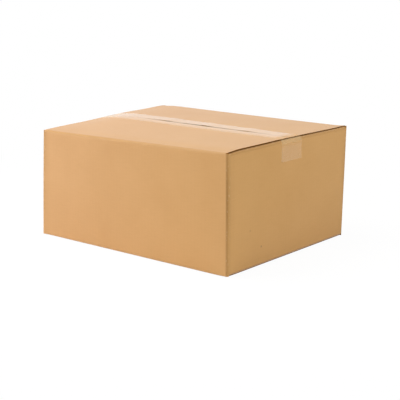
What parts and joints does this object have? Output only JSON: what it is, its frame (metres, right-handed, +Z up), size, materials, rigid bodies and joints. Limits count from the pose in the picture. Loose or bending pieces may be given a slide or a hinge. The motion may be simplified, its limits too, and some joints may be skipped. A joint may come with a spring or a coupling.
{
  "type": "closed cardboard box",
  "caption": "Closed shipping box of folded corrugated board, its top and bottom seams taped, with rounded folds, slotted corners and a glued corner joint.",
  "frame": {"origin": "on the ground, under the middle of the box", "axes": "+X along the long walls and the taped seam, -Y out of the front wall, +Z up"},
  "size_m": [0.3802, 0.3, 0.1781],
  "materials": {
    "board": "brown kraft liner, matte",
    "tape": "clear packing film, glossy",
    "glue": "dried white glue"
  },
  "bodies": {
    "root": {"carton": "board", "top_tape": "tape", "bottom_tape": "tape", "joint_glue": "glue"}
  },
  "joints": []
}
